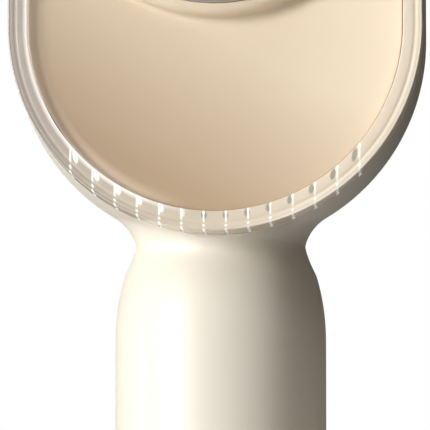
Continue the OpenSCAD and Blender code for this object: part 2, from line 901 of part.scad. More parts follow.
module pump_head() {
    color(grey) difference() {
        union() {
            pump_block(head_plate_z, head_plate_t);
            for (x = [-1, 1])
                translate([rod_x + x * nipple_gap, -pump_v, head_plate_z + head_plate_t - eps])
                    cylinder(r = nipple_r, h = nipple_h);
        }
        for (x = [-1, 1]) translate([rod_x + x * nipple_gap, -pump_v, head_plate_z - 1])
            cylinder(r = nipple_bore, h = head_plate_t + nipple_h + 2);
        pump_screw_holes(head_plate_z - 1, head_plate_t + 2);
    }
}

module pump_screws() {
    head_top = head_plate_z + head_plate_t;
    color(steel) {
        for (x = [-1, 1], y = [-1, 1])
            translate([rod_x + x * pump_screw_x, -pump_v + y * pump_screw_y, head_top + slack])
                scale(small_screw) screw(15);
        for (x = [-1, 1]) facing(pump_fix_z, rod_x + x * pump_fix_x)
            translate([0, 0, frame_v - slack]) mirror([0, 0, 1]) scale(small_screw) screw(5);
    }
}

// ---- Pieces: air path ----

module suction_hose() {
    x = rod_x - nipple_gap;
    bend_z = crown_z - hose_bend;
    color(clear) union() {
        translate([x, -pump_v, hose_start]) tube(hose_in, hose_out, bend_z - hose_start);
        translate([x, -pump_v - hose_bend, bend_z]) rotate([90, 0, 90])
            rotate_extrude(angle = 90) translate([hose_bend, 0]) difference() {
                circle(hose_out);
                circle(hose_in);
            }
        facing(crown_z, x) translate([0, 0, pump_v + hose_bend])
            tube(hose_in, hose_out, pipe_end - pump_v - hose_bend - slack);
    }
}

module exhaust_hose() {
    color(clear) translate([rod_x + nipple_gap, -pump_v, hose_start]) tube(hose_in, hose_out, exhaust_len);
}

module exhaust_muffler() {
    color(dark) translate([rod_x + nipple_gap, -pump_v, hose_start + exhaust_len + slack])
        cylinder(r = muffler_r, h = muffler_len);
}

// ---- Pieces: electrics ----

module battery_cell() {
    color([0.2, 0.45, 0.3]) translate([0, cell_y, cell_z]) union() {
        cylinder(r = cell_r, h = cell_len);
        translate([0, 0, cell_len - eps]) cylinder(r = 2.6, h = 0.8);
    }
}

module battery_tray() {
    tray_r = cell_r + slack;
    color(grey) intersection() {
        difference() {
            translate([0, cell_y, cell_z - 1.5]) cylinder(r = tray_r + tray_t, h = cell_len + 4);
            translate([0, cell_y, cell_z - 0.5]) cylinder(r = tray_r, h = cell_len + 2);
        }
        translate([-20, cell_y + 2, 0]) cube([40, 20, 200]);
    }
}

module battery_tabs() {
    color(brass) for (z = [cell_z - 0.4, cell_z + cell_len + 0.85])
        translate([-2.5, cell_y - 5, z]) cube([5, 6.5, 0.3]);
}

module main_board() {
    color(green) difference() {
        translate([-board_x, -board_v - board_t, board_z])
            cube([2 * board_x, board_t, board_top - board_z]);
        for (x = [-1, 1]) disc(board_screw_z, 0, 10, small_hole_r, x * board_screw_x);
    }
}

module board_screws() {
    color(steel) for (x = [-1, 1]) facing(board_screw_z, x * board_screw_x)
        translate([0, 0, board_v - slack]) mirror([0, 0, 1]) scale(small_screw) screw(6);
}

module control_chips() {
    back = -board_v + slack;
    color(dark) union() {
        translate([-3, back, board_z + 8]) cube([6, 1, 5]);
        translate([-2, back, board_z + 20]) cube([4, 1, 4]);
        translate([-8, back, board_z + 24]) cube([3, 1.2, 2]);
        translate([5, back, board_z + 15]) cube([3, 1.8, 3]);
        translate([-8, back, board_top - 8]) cube([4, 2, 4]);
    }
}

module switch_bases() {
    front = board_v + board_t + slack;
    color(dark) for (z = [power_z, level_z]) difference() {
        translate([-switch_side / 2, -front - switch_t, z - switch_side / 2])
            cube([switch_side, switch_t, switch_side]);
        disc(z, switch_floor, front + 4, switch_hole_r);
    }
}

module switch_stem(z) {
    color(pearl) disc(z, stem_v, stem_end - slack, stem_r);
}

module power_switch_stem() {
    switch_stem(power_z);
}

module level_switch_stem() {
    switch_stem(level_z);
}

module button(z, r) {
    flange_v1 = button_back + button_flange_t;
    rim = 0.6;
    color(champagne) facing(z) difference() {
        union() {
            translate([0, 0, button_back]) cylinder(r = r + 0.9, h = button_flange_t);
            translate([0, 0, button_back]) cylinder(r = r, h = button_face - button_back - rim);
            translate([0, 0, button_face - rim - eps]) cylinder(r1 = r, r2 = r - rim, h = rim);
        }
        translate([0, 0, button_face + 3 * r - 0.5]) sphere(3 * r);
    }
}

module power_button() {
    button(power_z, power_d / 2);
}

module level_button() {
    button(level_z, level_d / 2);
}

module indicator_leds() {
    front = board_v + board_t + slack;
    color("white") for (z = light_z)
        translate([-0.8, -front - 0.8, z - 0.5]) cube([1.6, 0.8, 1]);
}

module level_lights() {
    color(clear) for (z = light_z) disc(z, board_v + board_t + 1, handle_r, light_r);
}

module charge_board() {
    color(green) translate([-charge_board_x, 1, charge_board_z])
        cube([2 * charge_board_x, 10, charge_board_t]);
}

module charge_socket() {
    y0 = socket_mouth - socket_len;
    color(steel) difference() {
        socket_slot(0, y0, socket_mouth);
        socket_slot(-0.35, y0 + 1, socket_mouth + 1);
    }
    color(dark) translate([-3.3, y0 + 0.9, socket_z - 0.35]) cube([6.6, socket_len - 1.7, 0.7]);
}

module port_plug() {
    lip_margin = -0.25;
    color(dark) union() {
        curved_plate(handle_r - plug_t, handle_r, plug_x, plug_low, plug_high);
        socket_slot(lip_margin, socket_mouth + gap, handle_r - plug_t / 2);
        translate([-anchor_x, handle_r - plug_t / 2, plug_low]) rotate([0, 90, 0])
            cylinder(r = plug_t / 2 - slack, h = 2 * anchor_x, $fn = round_fn);
    }
}

// The plug's rubber root, which stays in the shell; the plug bends open above it
module plug_anchor() {
    anchor_high = plug_low - swing_gap - slack;
    color(dark) curved_plate(handle_r - plug_t, handle_r, anchor_x, anchor_low, anchor_high);
}

module motor_leads() {
    color("firebrick") wire(lead_route(-3.6, 2.5), lead_r);
    color(dark) wire(lead_route(-6, 1), lead_r);
}

// From the top of the main board, through the neck, to the motor's end cap
function lead_route(x, side) = [
    [x, -board_v - board_t / 2, board_top + 0.4],
    [x, -3.5, board_top + 6],
    [x, -3.5, neck_z + 1],
    [x - 7, -3.5, head_z - 21],
    [motor_x0 - 1.6, -pump_v - side, shaft_z - 12 + side],
    [motor_x0 - 1.3, -pump_v - side, shaft_z - 4],
    [motor_x0, -pump_v - side, shaft_z - 4]];

module charge_leads() {
    top = charge_board_z + charge_board_t + 0.6;
    for (x = [-3, 3])
        color(x > 0 ? "firebrick" : dark)
            wire([[x, 3, top], [x, 0.5, top + 1.5], [x, -board_v + 0.8, board_z + 3]], lead_r);
}

module battery_leads() {
    tab_y = cell_y - 5.6;
    board_y = -board_v + 0.8;
    low = cell_z - 0.4;
    high = cell_z + cell_len + 1;
    color("firebrick") wire([[2, tab_y, low], [2.4, -3, low - 1], [2.4, board_y, low]], lead_r);
    color(dark) wire([[2, tab_y, high], [2, -3, high], [2, board_y, high - 2.2]], lead_r);
}

front_shell();
rear_shell();
base_cap();
base_pad();
base_screws();
shell_screws();
face_panel();
panel_gasket();
trim_ring();
nozzle_base();
spigot_seal();
clear_cover();
suction_tip();
filter_sponge();
filter_grid();
inner_frame();
frame_screws();
motor_sleeve();
motor_can();
motor_magnets();
motor_end_cap();
motor_bushes();
armature();
motor_shaft();
eccentric();
connecting_rod();
pump_case();
diaphragm();
valve_plate();
valve_flaps();
pump_head();
pump_screws();
suction_hose();
exhaust_hose();
exhaust_muffler();
battery_cell();
battery_tray();
battery_tabs();
main_board();
board_screws();
control_chips();
switch_bases();
power_button();
power_switch_stem();
level_button();
level_switch_stem();
indicator_leds();
level_lights();
charge_board();
charge_socket();
port_plug();
plug_anchor();
motor_leads();
charge_leads();
battery_leads();
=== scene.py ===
import json
from math import asin, cos, hypot, pi, radians, sin, sqrt

import bmesh
import bpy
from mathutils import Matrix, Vector


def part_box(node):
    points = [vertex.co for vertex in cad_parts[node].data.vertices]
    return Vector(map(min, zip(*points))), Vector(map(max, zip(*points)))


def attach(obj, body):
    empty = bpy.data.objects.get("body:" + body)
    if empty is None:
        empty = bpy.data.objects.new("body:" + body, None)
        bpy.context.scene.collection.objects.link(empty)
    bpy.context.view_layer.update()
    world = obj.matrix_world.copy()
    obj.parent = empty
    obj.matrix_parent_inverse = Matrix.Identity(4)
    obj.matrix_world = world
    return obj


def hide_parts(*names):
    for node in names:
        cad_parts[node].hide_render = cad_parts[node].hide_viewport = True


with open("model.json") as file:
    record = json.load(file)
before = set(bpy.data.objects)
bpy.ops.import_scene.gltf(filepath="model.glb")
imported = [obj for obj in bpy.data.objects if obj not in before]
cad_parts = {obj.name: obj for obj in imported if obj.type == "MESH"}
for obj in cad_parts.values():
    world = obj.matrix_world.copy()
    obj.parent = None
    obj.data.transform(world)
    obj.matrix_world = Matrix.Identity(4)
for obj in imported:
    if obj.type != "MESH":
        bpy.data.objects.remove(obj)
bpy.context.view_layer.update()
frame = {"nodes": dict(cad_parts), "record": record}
mm = 0.001

# ---- Sizes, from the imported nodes; depth is measured towards the front, -Y ----

handle_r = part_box("base_cap")[1].x
head_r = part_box("rear_shell")[1].x
cover_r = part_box("clear_cover")[1].x
crown_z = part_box("clear_cover")[1].z - cover_r
head_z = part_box("clear_cover")[0].z + cover_r
cover_front = -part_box("clear_cover")[0].y
trim_r = 23 * mm
foot_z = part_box("rear_shell")[0].z
tip_foot = -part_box("suction_tip")[1].y
tip_end = -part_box("suction_tip")[0].y
tip_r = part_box("suction_tip")[1].x
spigot_end = -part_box("nozzle_base")[0].y
seat_r = trim_r - 2.2 * mm

neck_r = 12 * mm
neck_z = head_z - head_r + 0.1 * mm
shoulder_len = 14 * mm
shoulder_z = neck_z - shoulder_len
shell_front = 13 * mm
shell_back = 14 * mm
back_round = 9 * mm
back_reach = 15 * mm
wall = 1.8 * mm
opening_r = 26.3 * mm
cover_back = shell_front + 0.15 * mm
panel_r = opening_r - 0.1 * mm
dish_edge = cover_front - 1.2 * mm
dish_low = dish_edge - 3.2 * mm
boss_r = 24.6 * mm
boss_round = 1.5 * mm
boss_foot = 0.8 * mm
boss_top = dish_low + 4 * mm
seat_v = boss_top - 1.4 * mm
pad_h = 1 * mm
pad_r = handle_r - 2.6 * mm
cap_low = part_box("base_cap")[0].z
foot_round = 1.6 * mm
mouth_r = 3 * mm
neck_fillet = 3 * mm
front_reach = 4 * mm        # the skin is made this much deeper, then cut flat
seam = 0.06 * mm            # half the hairline gap between the shell's halves
panel_wall = 1.4 * mm

light_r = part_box("level_lights")[1].x
hole_r = 0.7 * mm
hole_pitch = 3 * mm
screw_head_r = 1.95 * mm
side_screw = head_r - 6.4 * mm
screw_places = [(side_screw, head_z + 10 * mm), (-side_screw, head_z + 10 * mm),
                (side_screw / 2, crown_z + side_screw * sin(pi / 3)),
                (-side_screw / 2, crown_z + side_screw * sin(pi / 3)),
                (0, shoulder_z - 7 * mm)]

vent_count = 14
vent_pitch = 3.1 * mm
vent_half = 0.28 * mm
vent_end = 1 * mm           # the vents' painted highlight lines stop this far from the ring's outer edge
# where the painted glint dots sit along each vent, and their sizes
vent_glint_dots = ((opening_r + 0.3 * mm, 0.26 * mm), (cover_r - 0.62 * mm, 0.24 * mm),
             (cover_r - 0.05 * mm, 0.22 * mm))

# ---- Making and joining meshes ----


def set_normals_out(bm):
    bmesh.ops.recalc_face_normals(bm, faces=bm.faces[:])


def finish_mesh(bm, name, smooth_angle):
    mesh = bpy.data.meshes.new(name)
    bm.to_mesh(mesh)
    bm.free()
    mesh.shade_smooth()
    mesh.set_sharp_from_angle(angle=radians(smooth_angle))
    return mesh


def make_object(bm, name, smooth_angle=35):
    obj = bpy.data.objects.new(name, finish_mesh(bm, name, smooth_angle))
    bpy.context.collection.objects.link(obj)
    return obj


def cut_away(obj, cutter_bm, smooth_angle=35):
    """Takes the cutter's solids out of the piece, and drops the cutter."""
    cutter = make_object(cutter_bm, obj.name + "_cutter")
    modifier = obj.modifiers.new("cut", "BOOLEAN")
    modifier.operation = "DIFFERENCE"
    modifier.solver = "EXACT"
    modifier.use_self = True
    modifier.object = cutter
    graph = bpy.context.evaluated_depsgraph_get()
    cut_mesh = bpy.data.meshes.new_from_object(obj.evaluated_get(graph))
    obj.modifiers.clear()
    old_mesh = obj.data
    obj.data = cut_mesh
    obj.data.shade_smooth()
    obj.data.set_sharp_from_angle(angle=radians(smooth_angle))
    bpy.data.meshes.remove(old_mesh)
    bpy.data.objects.remove(cutter)


def place_piece(obj, material, slot, body, *nodes):
    """Gives a finished piece its material and the body it rides on; its slot is not used."""
    obj.data.materials.clear()
    obj.data.materials.append(material)
    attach(obj, body)
    if nodes:
        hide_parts(*nodes)


def add_rod(bm, radius, start, end, segments=48):
    """A cylinder between two points, added to a mesh."""
    start = Vector(start)
    along = Vector(end) - start
    turn = along.to_track_quat("Z", "Y").to_matrix().to_4x4()
    matrix = Matrix.Translation(start + along / 2) @ turn
    bmesh.ops.create_cone(bm, cap_ends=True, segments=segments, radius1=radius, radius2=radius,
                          depth=along.length, matrix=matrix)


def add_block(bm, low, high):
    low = Vector(low)
    high = Vector(high)
    size = high - low
    matrix = Matrix.Translation((low + high) / 2) @ Matrix.Diagonal((*size, 1))
    bmesh.ops.create_cube(bm, size=1, matrix=matrix)


def shaped_grid(columns, rows, place):
    """A grid whose point (column, row) goes where place() says."""
    bm = bmesh.new()
    bmesh.ops.create_grid(bm, x_segments=columns, y_segments=rows, size=0.5)
    for vert in bm.verts:
        column = round((vert.co.x + 0.5) * columns)
        row = round((vert.co.y + 0.5) * rows)
        vert.co = place(column, row)
    return bm


def turned(points, centre, upright=False, steps=96):
    """Turns a closed profile of (radius, height) points about the front axis, or the upright one."""

    def place(column, row):
        turn = 2 * pi * (column % steps) / steps
        r, height = points[row % len(points)]
        flat = (r * cos(turn), r * sin(turn), height)
        return Vector(centre) + Vector(flat if upright else (flat[0], -height, flat[1]))

    bm = shaped_grid(steps, len(points), place)
    bmesh.ops.remove_doubles(bm, verts=bm.verts[:], dist=1e-7)
    bmesh.ops.dissolve_degenerate(bm, edges=bm.edges[:], dist=1e-7)
    set_normals_out(bm)
    return bm


def add_mesh(bm, other):
    """Adds another mesh's faces to this one."""
    spare = bpy.data.meshes.new("spare")
    other.to_mesh(spare)
    other.free()
    bm.from_mesh(spare)
    bpy.data.meshes.remove(spare)


def add_prism(bm, outline, low, high):
    """A flat outline of (x, y) points drawn upwards from one height to another."""
    base = bm.faces.new([bm.verts.new((x, y, low)) for x, y in outline])
    moved = bmesh.ops.extrude_face_region(bm, geom=[base])["geom"]
    bmesh.ops.translate(bm, verts=[g for g in moved if isinstance(g, bmesh.types.BMVert)],
                        vec=(0, 0, high - low))


def arc_points(centre, radius, start, end, steps):
    """Points on an arc in the profile plane, angles in degrees."""
    angles = [radians(start + (end - start) * i / steps) for i in range(steps + 1)]
    return [(centre[0] + radius * cos(a), centre[1] + radius * sin(a)) for a in angles]


# ---- The head's arched outline ----


def arch_stations(half_steps=96, straight_steps=10):
    """Stations around the arch: height of the middle line's point, and the way out from it."""
    lower = [(head_z, -pi + pi * i / half_steps) for i in range(half_steps + 1)]
    rise = crown_z - head_z
    right = [(head_z + rise * i / straight_steps, 0) for i in range(1, straight_steps)]
    upper = [(crown_z, pi * i / half_steps) for i in range(half_steps + 1)]
    left = [(crown_z - rise * i / straight_steps, pi) for i in range(1, straight_steps)]
    return lower + right + upper + left


def carried_profile(points):
    """Carries a closed profile of (distance from the middle line, depth) around the arch."""
    stations = arch_stations()

    def place(column, row):
        foot, turn = stations[column % len(stations)]
        r, depth = points[row % len(points)]
        return Vector((r * cos(turn), -depth, foot + r * sin(turn)))

    bm = shaped_grid(len(stations), len(points), place)
    bmesh.ops.remove_doubles(bm, verts=bm.verts[:], dist=1e-7)
    set_normals_out(bm)
    return bm


def arch_distance(x, z):
    return hypot(x, z - min(max(z, head_z), crown_z))


# ---- The shell: handle, shoulder, neck and head as one skin ----


def stem_radius(z):
    t = min(max((z - shoulder_z) / shoulder_len, 0), 1)
    eased = t ** 2.2 + 0.08 * sin(pi * max(t - 0.7, 0) / 0.3)
    return handle_r - (handle_r - neck_r) * eased


def side_radius(depth):
    t = max(depth, 0) / shell_front
    return head_r - 0.6 * mm * t * t


def head_distance(x, depth, z):
    """How far a point lies outside the head, whose sides round off towards its flat back."""
    out = arch_distance(x, z) - (side_radius(depth) - back_round)
    behind = (back_reach - shell_back - depth) * back_round / back_reach
    front = depth - (shell_front + front_reach)
    rounded = min(max(out, behind), 0) + hypot(max(out, 0), max(behind, 0)) - back_round
    return max(rounded, front)


def skin_distance(x, depth, z):
    """The stem and the head, joined with a round fillet."""
    stem = hypot(x, depth) - stem_radius(z)
    head = head_distance(x, depth, z)
    corner = hypot(max(neck_fillet - stem, 0), max(neck_fillet - head, 0))
    return max(neck_fillet, min(stem, head)) - corner


def skin_reach(turn, z):
    """Distance from the handle's axis to the skin, going out level in one direction."""
    if z < shoulder_z:
        return handle_r
    across = sin(turn)
    ahead = cos(turn)
    outside = 1.6 * head_r
    inside = 0
    for _ in range(22):
        middle = (inside + outside) / 2
        if skin_distance(middle * across, middle * ahead, z) > 0:
            outside = middle
        else:
            inside = middle
    return outside


def skin_heights():
    """Heights of the skin's rings, closest together where the neck meets the head."""
    handle = [foot_z + (shoulder_z - foot_z) * i / 16 for i in range(17)]
    shoulder = [shoulder_z + 11 * mm * i / 16 for i in range(1, 17)]
    low_z = shoulder[-1]
    meet_z = head_z - head_r * cos(radians(27))
    neck = [low_z + (meet_z - low_z) * i / 32 for i in range(1, 33)]
    head = [head_z - head_r * cos(radians(27 + 63 * i / 44)) for i in range(1, 45)]
    straight = [head_z + (crown_z - head_z) * i / 6 for i in range(1, 7)]
    return handle + shoulder + neck + head + straight


def shell_skin():
    """The whole outer skin, closed over the crown and cut flat at the front of the head."""
    around = 144
    crown_steps = 44
    heights = skin_heights()
    reach = {}

    def place(column, row):
        column %= around
        turn = 2 * pi * column / around
        z = heights[min(row, len(heights) - 1)]
        if (column, z) not in reach:
            mirrored = (around - column) % around
            reach[column, z] = reach.get((mirrored, z)) or skin_reach(turn, z)
        r = reach[column, z]
        x = r * sin(turn)
        over = max(row - len(heights) + 1, 0) * pi / 2 / crown_steps
        return Vector((x * cos(over), -r * cos(turn), z + abs(x) * sin(over)))

    bm = shaped_grid(around, len(heights) - 1 + crown_steps, place)
    bmesh.ops.remove_doubles(bm, verts=bm.verts[:], dist=1e-6)
    bmesh.ops.dissolve_degenerate(bm, edges=bm.edges[:], dist=1e-6)
    set_normals_out(bm)
    upper = [f for f in bm.faces if f.calc_center_median().z > neck_z - 1.5 * mm]
    geom = list({v for f in upper for v in f.verts} | {e for f in upper for e in f.edges}) + upper
    bmesh.ops.bisect_plane(bm, geom=geom, plane_co=(0, -shell_front, 0), plane_no=(0, -1, 0),
                           clear_outer=True)
    rim = [e for e in bm.edges if e.is_boundary and e.verts[0].co.z > neck_z - 4 * mm]
    bmesh.ops.holes_fill(bm, edges=rim)
    set_normals_out(bm)
    bmesh.ops.solidify(bm, geom=bm.faces[:], thickness=wall)
    return bm


def half_of(skin, front):
    """The front or rear half of the skin, with a hairline gap along the seam."""
    half = skin.copy()
    side = -1 if front else 1
    bmesh.ops.bisect_plane(half, geom=half.verts[:] + half.edges[:] + half.faces[:],
                           plane_co=(0, side * seam, 0), plane_no=(0, side, 0), clear_inner=True)
    cut = [e for e in half.edges if e.is_boundary and abs(e.verts[0].co.y - side * seam) < 1e-7]
    filled = bmesh.ops.holes_fill(half, edges=cut)["faces"]
    bmesh.ops.triangulate(half, faces=filled)
    set_normals_out(half)
    return half


def front_cutter():
    """The head's opening and the holes for the two buttons and three lights."""
    inside = 5 * mm
    outside = 20 * mm
    flange_cover = 0.6 * mm     # the hole's edge overlaps the button's flange by this
    bm = bmesh.new()
    stations = arch_stations()
    ring = [bm.verts.new((opening_r * cos(t), -inside, foot + opening_r * sin(t)))
            for foot, t in stations]
    face = bm.faces.new(ring)
    moved = bmesh.ops.extrude_face_region(bm, geom=[face])["geom"]
    bmesh.ops.translate(bm, verts=[g for g in moved if isinstance(g, bmesh.types.BMVert)],
                        vec=(0, -outside, 0))
    set_normals_out(bm)
    for node in ("power_button", "level_button"):
        low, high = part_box(node)
        z = (low.z + high.z) / 2
        add_rod(bm, (high.x - low.x) / 2 - flange_cover, (0, -inside, z), (0, -outside, z))
    for z in light_heights():
        add_rod(bm, light_r + 0.05 * mm, (0, -inside, z), (0, -outside, z), 24)
    return bm


def light_heights():
    low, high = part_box("level_lights")
    first = low.z + light_r
    last = high.z - light_r
    return [first, (first + last) / 2, last]


# ---- The visible pieces ----


def rear_cutter():
    """The screw wells, the exhaust holes, and the plug's recess with the socket's slot in it."""
    inside = 8 * mm
    outside = 18 * mm
    bm = bmesh.new()
    for x, z in screw_places:
        add_rod(bm, screw_head_r, (x, inside, z), (x, outside, z), 32)
    for column in range(-2, 3):
        for row in range(-1, 2):
            x = hole_pitch * column
            z = crown_z + hole_pitch * row
            add_rod(bm, hole_r, (x, inside, z), (x, outside, z), 24)
    plug_low, plug_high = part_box("port_plug")
    anchor_low, anchor_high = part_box("plug_anchor")
    recess_r = handle_r - 1.2 * mm
    for low, high, half in ((plug_low.z - 0.6 * mm, plug_high.z + 0.3 * mm, plug_high.x + 0.3 * mm),
                            (anchor_low.z - 0.05 * mm, plug_low.z, anchor_high.x + 0.05 * mm)):
        turns = [(i / 16 * 2 - 1) * asin(half / recess_r) for i in range(17)]
        outline = [(recess_r * sin(t), recess_r * cos(t)) for t in turns]
        add_prism(bm, outline + [(half, outside), (-half, outside)], low, high)
    socket_low, socket_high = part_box("charge_socket")
    r = (socket_high.z - socket_low.z) / 2 + 0.2 * mm
    half = socket_high.x + 0.2 * mm - r
    slot = arc_points((half, 0), r, -90, 90, 12) + arc_points((-half, 0), r, 90, 270, 12)
    slot_bm = bmesh.new()
    add_prism(slot_bm, slot, 11 * mm, outside)
    lay = Matrix(((1, 0, 0), (0, 0, 1), (0, 1, 0))).to_4x4()
    bmesh.ops.transform(slot_bm, matrix=lay, verts=slot_bm.verts[:])
    bmesh.ops.translate(slot_bm, verts=slot_bm.verts[:],
                        vec=(0, 0, (socket_low.z + socket_high.z) / 2))
    add_mesh(bm, slot_bm)
    set_normals_out(bm)
    return bm


def add_screw_wells(rear):
    """The posts inside the rear shell, seen down the screw wells."""
    shank_r = 1.05 * mm
    post_r = 2.6 * mm
    post_end = 6 * mm
    seat = 8 * mm
    bm = bmesh.new()
    bm.from_mesh(rear.data)
    for x, z in screw_places:
        out = arch_distance(x, z) - (head_r - back_round)
        skin = shell_back if z > neck_z else handle_r
        if z > neck_z and out > 0:
            skin = back_reach * sqrt(1 - (out / back_round) ** 2) - 1 * mm
        well_end = skin - 0.9 * mm
        points = [(shank_r, -post_end), (shank_r, -seat), (screw_head_r, -seat),
                  (screw_head_r, -well_end), (post_r, -well_end), (post_r, -post_end)]
        add_mesh(bm, turned(points, (x, 0, z), steps=32))
    bm.to_mesh(rear.data)
    bm.free()


def make_shell(materials):
    skin = shell_skin()
    front = make_object(half_of(skin, True), "pearl_front")
    rear = make_object(half_of(skin, False), "pearl_rear")
    skin.free()
    cut_away(front, front_cutter())
    cut_away(rear, rear_cutter())
    add_screw_wells(rear)
    place_piece(front, materials["pearl"], "pearl_shell", "body", "front_shell")
    place_piece(rear, materials["pearl"], "pearl_shell", "body", "rear_shell")


def dish_depth(x, z):
    """Depth of the dish without its boss."""
    return dish_low + (dish_edge - dish_low) * (arch_distance(x, z) / panel_r) ** 2


def panel_depth(x, z):
    """Depth of the face: a shallow dish with a round boss that rises from it."""
    dish = dish_depth(x, z)
    q = hypot(x, z - crown_z)
    over = q - (boss_r - boss_round)
    ledge = boss_top - boss_round
    if q < trim_r + 0.04 * mm:
        return seat_v
    if over < boss_round:
        return max(dish, ledge + sqrt(boss_round ** 2 - max(over, 0) ** 2))
    share = max(1 - (over - boss_round) / boss_foot, 0)
    return max(dish, min(dish + boss_foot * (1 - sqrt(1 - share * share)), ledge))


def arch_reach(turn, r):
    """Distance from the crown's centre to the arch of radius r, in one direction."""
    down = -sin(turn)
    across = abs(cos(turn))
    rise = crown_z - head_z
    if down <= 0:
        return r
    if across * rise / down > r:
        return r / across
    return rise * down + sqrt(max(r * r - (rise * across) ** 2, 0))


def make_panel(materials):
    around = 240
    dish_rows = 40
    back_rows = 8
    hole = seat_r - 1 * mm
    side_wall = 1.1
    edge_in = 0.2 * mm
    boss_rows = [hole, trim_r, trim_r + 0.03 * mm, trim_r + 0.05 * mm]
    boss_rows += [trim_r + (0.1 + 0.1 * i) * mm for i in range(15)]
    boss_rows += [boss_r + i * mm for i in (-0.03, -0.005, 0.005, 0.03, 0.07, 0.13,
                                            0.2, 0.3, 0.4, 0.55, 0.7, 0.9)]
    # how far the rim's points lie in from the edge, and back from the face, in mm
    skirt = [(0.12, 0.03), (0.03, 0.12), (0, 0.3), (0, 5.6), (side_wall, 5.6)]
    front_rows = len(boss_rows) + dish_rows
    inner = trim_r - 0.5 * mm
    rows = front_rows + len(skirt) + back_rows + 2

    def place(column, row):
        turn = 2 * pi * (column % around) / around
        reach = arch_reach(turn, panel_r)
        row %= rows
        drop = 0
        front = panel_depth
        if row < len(boss_rows):
            q = boss_rows[row]
        elif row < front_rows:
            start = boss_rows[-1]
            q = start + (reach - edge_in - start) * (row - len(boss_rows) + 1) / dish_rows
        elif row < front_rows + len(skirt):
            inset, drop = skirt[row - front_rows]
            q = reach - inset * mm
            drop *= mm
        else:
            drop = panel_wall
            if row < rows - 2:
                front = dish_depth
                q = inner + (reach - side_wall * mm - inner) * (rows - 3 - row) / (back_rows - 1)
            else:
                q = inner - edge_in if row == rows - 2 else hole
        x = q * cos(turn)
        z = crown_z + q * sin(turn)
        return Vector((x, drop - front(x, z), z))

    bm = shaped_grid(around, rows, place)
    bmesh.ops.remove_doubles(bm, verts=bm.verts[:], dist=1e-6)
    set_normals_out(bm)
    panel = make_object(bm, "champagne_face", 50)
    place_piece(panel, materials["face"], "champagne_panel", "body", "face_panel")


def make_cover(materials):
    """The clear ring, with a shallow groove near its outer edge and the vents cut in."""
    lip = 0.2 * mm
    soft = 0.1 * mm
    groove = cover_r - vent_end
    groove_half = 0.42 * mm
    groove_deep = 0.055 * mm        # half of its depth
    inner = arc_points((opening_r + soft, cover_front - soft), soft, 180, 90, 4)
    valley = [(groove + groove_half * s, cover_front - groove_deep * (1 + cos(pi * s)))
              for s in (-1, -0.66, -0.33, 0, 0.33, 0.66, 1)]
    outer = arc_points((cover_r - lip, cover_front - 0.05 * mm - lip), lip, 90, 0, 6)
    points = [(opening_r, cover_back)] + inner + valley + outer + [(cover_r, cover_back)]
    cover = make_object(carried_profile(points), "clear_ring", 50)
    cut_away(cover, vent_slots(), 50)
    place_piece(cover, materials["clear"], "clear_plastic", "cover", "clear_cover")


def arch_low(x, r):
    """Height of the arch's lower edge at a distance from the middle."""
    return head_z - sqrt(r * r - x * x)


def vent_xs():
    return [(i - (vent_count - 1) / 2) * vent_pitch for i in range(vent_count)]


def vent_slots():
    """The air slots through the ring's lower side, cut in from behind."""
    bm = bmesh.new()
    for x in vent_xs():
        low = arch_low(x, cover_r) - 1 * mm
        high = arch_low(abs(x) + 2 * vent_half, opening_r) + 0.4 * mm
        add_block(bm, (x - vent_half, -cover_back - 2.4 * mm, low),
                  (x + vent_half, -cover_back - 0.6 * mm, high))
    return bm


# ---- The nozzle, the tip, the trim ring, the buttons and the foot ----


def make_nozzle(materials):
    """The dome on the boss and the spigot that carries the tip."""
    dome_top = seat_v + 6.5 * mm
    dome_low = seat_v + 1.6 * mm
    spigot_r = 7 * mm
    neck = spigot_r + 1 * mm
    pocket_r = spigot_r - 2.5 * mm
    seal_v = dome_top + 4.2 * mm
    seal_half = 0.85 * mm
    seal_in = spigot_r - 1.6 * mm
    pipe_r = 3.2 * mm
    pipe_end = 9 * mm
    air_r = 0.9 * mm
    rebate_r = seat_r - 1.05 * mm
    seat = seat_v + 0.05 * mm
    soft = 0.3 * mm
    dome = [(seat_r - (seat_r - neck) * i / 24,
             dome_low + (dome_top - dome_low) * sin(pi / 2 * i / 24)) for i in range(25)]
    edge = arc_points((spigot_r - 0.5 * mm, spigot_end - 0.5 * mm), 0.5 * mm, 0, 90, 5)
    points = ([(pipe_r, seat_v - 2 * mm), (rebate_r, seat_v - 2 * mm), (rebate_r, seat),
               (seat_r, seat)] + dome
              + [(spigot_r + soft, dome_top), (spigot_r, dome_top + soft),
                 (spigot_r, seal_v - seal_half), (seal_in, seal_v - seal_half),
                 (seal_in, seal_v + seal_half), (spigot_r, seal_v + seal_half)]
              + edge + [(pocket_r + soft, spigot_end), (pocket_r, spigot_end - soft),
                        (pocket_r, dome_top), (air_r, dome_top), (air_r, pipe_end),
                        (pipe_r, pipe_end)])
    nozzle = make_object(turned(points, (0, 0, crown_z)), "pearl_nozzle")
    place_piece(nozzle, materials["pearl"], "pearl_shell", "body", "nozzle_base")


def make_trim(materials):
    """The metal ring on the boss."""
    inner = trim_r - 2.1 * mm
    low = seat_v + 0.05 * mm
    high = seat_v + 2.2 * mm
    soft = 0.45 * mm
    points = ([(inner, low), (trim_r, low)]
              + arc_points((trim_r - soft, high - soft), soft, 0, 90, 6)
              + arc_points((inner + soft, high - soft), soft, 90, 180, 6))
    trim = make_object(turned(points, (0, 0, crown_z), steps=144), "steel_trim")
    place_piece(trim, materials["steel"], "steel", "body", "trim_ring")


